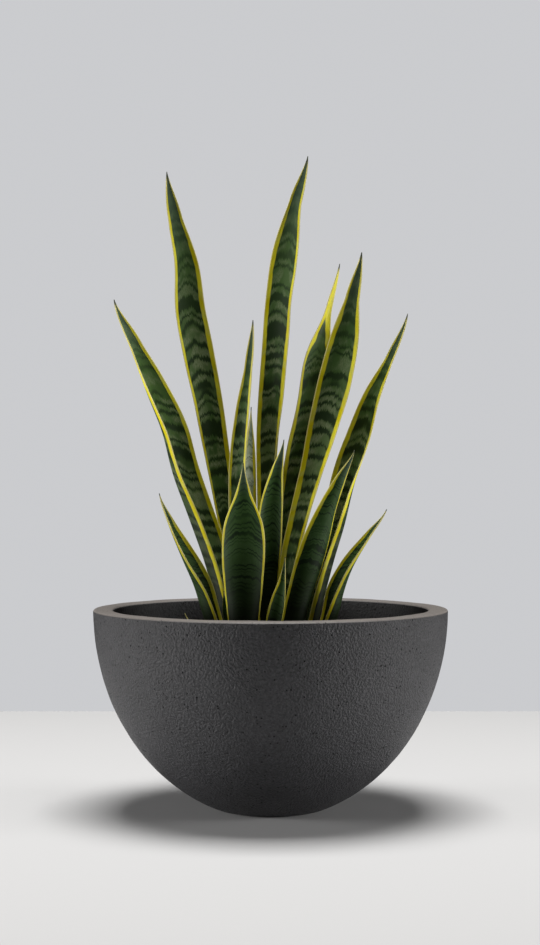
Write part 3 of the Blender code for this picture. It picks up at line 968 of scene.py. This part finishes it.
# ---- Stage ---------------------------------------------------------------------------------------


def build_floor():
    """A pale table top, wide enough to catch the whole shadow."""
    bpy.ops.object.select_all(action="DESELECT")
    bpy.ops.mesh.primitive_plane_add(size=1.75, location=(0, 0, 0))
    floor = new_piece("studio_floor")
    made, w, shader = new_material("Studio floor")
    w.fill(shader, Base_Color=settings().stage.floor_colour, Roughness=0.65)
    floor.data.materials.append(made)


def soft_box(name, place, target, size, power):
    """A large soft light that looks at target."""
    data = bpy.data.lights.new(name, "AREA")
    data.shape = "RECTANGLE"
    data.size, data.size_y = size
    data.energy = power
    data.color = (1.0, 0.99, 0.98)
    lamp = bpy.data.objects.new(name, data)
    lamp.location = place
    lamp.rotation_euler = (Vector(target) - Vector(place)).to_track_quat("-Z", "Y").to_euler()
    bpy.context.scene.collection.objects.link(lamp)


def build_camera():
    data = bpy.data.cameras.new("Camera")
    data.sensor_width = 36.0
    data.lens = 72.6
    data.clip_start = 0.05
    data.clip_end = 60.0
    camera = bpy.data.objects.new("Camera", data)
    camera.location = (-0.0006, -2.158, 0.380)
    camera.rotation_euler = (math.radians(90), 0.0, 0.0)
    bpy.context.scene.collection.objects.link(camera)
    bpy.context.scene.camera = camera


def build_world():
    """A plain backdrop for the camera, and a fainter light from all round for everything else."""
    stage = settings().stage
    world = bpy.data.worlds.new("Studio")
    world.use_nodes = True
    w = Wiring(world.node_tree)
    rays = w.add("ShaderNodeLightPath").outputs["Is Camera Ray"]
    strength = w.fill(w.add("ShaderNodeMapRange"), Value=rays, To_Min=stage.fill,
                      To_Max=stage.backdrop)["Result"]
    w.fill(world.node_tree.nodes["Background"], Color=(0.96, 0.97, 1.0), Strength=strength)
    bpy.context.scene.world = world
    bpy.context.scene.view_settings.view_transform = "Standard"


# ---- Settings, operators and panel ---------------------------------------------------------------


LENGTH = {"unit": "LENGTH", "subtype": "DISTANCE"}
SHARE = {"subtype": "FACTOR"}


def amount(name, description, default, low, high, **kind):
    return bpy.props.FloatProperty(
        name=name, description=description, default=default, min=low, max=high, **kind)


def paint(name, description, default):
    return bpy.props.FloatVectorProperty(
        name=name, description=description, default=default, subtype="COLOR", size=3,
        min=0.0, max=1.0)


class PlanterSettings(bpy.types.PropertyGroup):
    rim_edge: amount("Rim edge", "Rounding of the rim's two edges", 0.0022, 0.0005, 0.01, **LENGTH)
    grain: amount("Grain", "Size of the orange-peel grain in the cast surface",
                  0.0024, 0.0005, 0.02, **LENGTH)
    pit_spacing: amount("Pit spacing", "Distance between the small pits in the cast surface",
                        0.0045, 0.002, 0.05, **LENGTH)
    colour: paint("Stone", "Colour of the cast wall", (0.0295, 0.0292, 0.0318))
    rim_colour: paint("Rim", "Colour of the worn, dusty rim", (0.172, 0.155, 0.142))


class SoilSettings(bpy.types.PropertyGroup):
    crumbs: bpy.props.IntProperty(
        name="Crumbs", description="Loose bits scattered over the soil",
        default=1500, min=50, max=3000)


class LeafSettings(bpy.types.PropertyGroup):
    band_spacing: amount("Band spacing",
                         "Spacing of the dark cross bands, as a share of the usual",
                         1.0, 0.3, 3.0, **SHARE)
    gloss_low: amount("Shine on ribs", "Roughness along the raised ribs", 0.46, 0.0, 1.0, **SHARE)
    gloss_high: amount("Shine between ribs", "Roughness in the grooves", 0.60, 0.0, 1.0, **SHARE)


class StageSettings(bpy.types.PropertyGroup):
    floor_colour: paint("Floor", "Colour of the studio floor", (0.60, 0.60, 0.60))
    fill: amount("Fill", "Strength of the light from all round", 0.02, 0.0, 5.0)
    backdrop: amount("Backdrop", "How pale the backdrop looks", 0.62, 0.0, 5.0)
    key: amount("Key light", "Power of the main soft box", 126.0, 0.0, 2000.0, unit="POWER")


class SnakePlantSettings(bpy.types.PropertyGroup):
    planter: bpy.props.PointerProperty(name="Planter", type=PlanterSettings)
    soil: bpy.props.PointerProperty(name="Soil", type=SoilSettings)
    leaves: bpy.props.PointerProperty(name="Leaves", type=LeafSettings)
    stage: bpy.props.PointerProperty(name="Stage", type=StageSettings)


class SNAKEPLANT_OT_planter(bpy.types.Operator):
    """Casts the bowl planter"""

    bl_idname = "snake_plant.planter"
    bl_label = "Make Planter"

    def execute(self, context):
        build_planter()
        return {"FINISHED"}


class SNAKEPLANT_OT_soil(bpy.types.Operator):
    """Fills the bowl with potting mix and scatters its top dressing"""

    bl_idname = "snake_plant.soil"
    bl_label = "Make Soil"

    def execute(self, context):
        build_soil()
        build_dressing()
        return {"FINISHED"}


class SNAKEPLANT_OT_leaves(bpy.types.Operator):
    """Grows every leaf"""

    bl_idname = "snake_plant.leaves"
    bl_label = "Grow Leaves"

    def execute(self, context):
        for seed, leaf in enumerate(LEAVES, 1):
            build_leaf(leaf, seed)
        return {"FINISHED"}


class SNAKEPLANT_OT_stage(bpy.types.Operator):
    """Sets up the floor, the soft lights and the camera"""

    bl_idname = "snake_plant.stage"
    bl_label = "Set Stage"

    def execute(self, context):
        power = context.scene.snake_plant.stage.key
        build_floor()
        build_world()
        build_camera()
        soft_box("Top box", (0.0, 0.15, 3.2), (0.0, 0.15, 0.0), (1.5, 1.5), power)
        for name, side, share in (("Left box", -1, 0.34), ("Right box", 1, 0.31)):
            soft_box(name, (side * 2.2, -0.20, 0.30), (0.0, 0.0, 0.22), (1.0, 0.5), power * share)
        return {"FINISHED"}


class SNAKEPLANT_PT_panel(bpy.types.Panel):
    bl_label = "Snake Plant"
    bl_idname = "SNAKEPLANT_PT_panel"
    bl_space_type = "VIEW_3D"
    bl_region_type = "UI"
    bl_category = "Snake Plant"

    def draw(self, context):
        plant = context.scene.snake_plant
        for group, operator in (
            (plant.planter, SNAKEPLANT_OT_planter),
            (plant.soil, SNAKEPLANT_OT_soil),
            (plant.leaves, SNAKEPLANT_OT_leaves),
            (plant.stage, SNAKEPLANT_OT_stage),
        ):
            box = self.layout.box()
            for name in group.__annotations__:
                box.prop(group, name)
            box.operator(operator.bl_idname)


CLASSES = (
    PlanterSettings,
    SoilSettings,
    LeafSettings,
    StageSettings,
    SnakePlantSettings,
    SNAKEPLANT_OT_planter,
    SNAKEPLANT_OT_soil,
    SNAKEPLANT_OT_leaves,
    SNAKEPLANT_OT_stage,
    SNAKEPLANT_PT_panel,
)


def register():
    for each in CLASSES:
        bpy.utils.register_class(each)
    bpy.types.Scene.snake_plant = bpy.props.PointerProperty(type=SnakePlantSettings)


def unregister():
    del bpy.types.Scene.snake_plant
    for each in reversed(CLASSES):
        bpy.utils.unregister_class(each)


def main():
    register()
    bpy.ops.snake_plant.stage()
    bpy.ops.snake_plant.planter()
    bpy.ops.snake_plant.soil()
    bpy.ops.snake_plant.leaves()


if __name__ == "__main__":
    main()
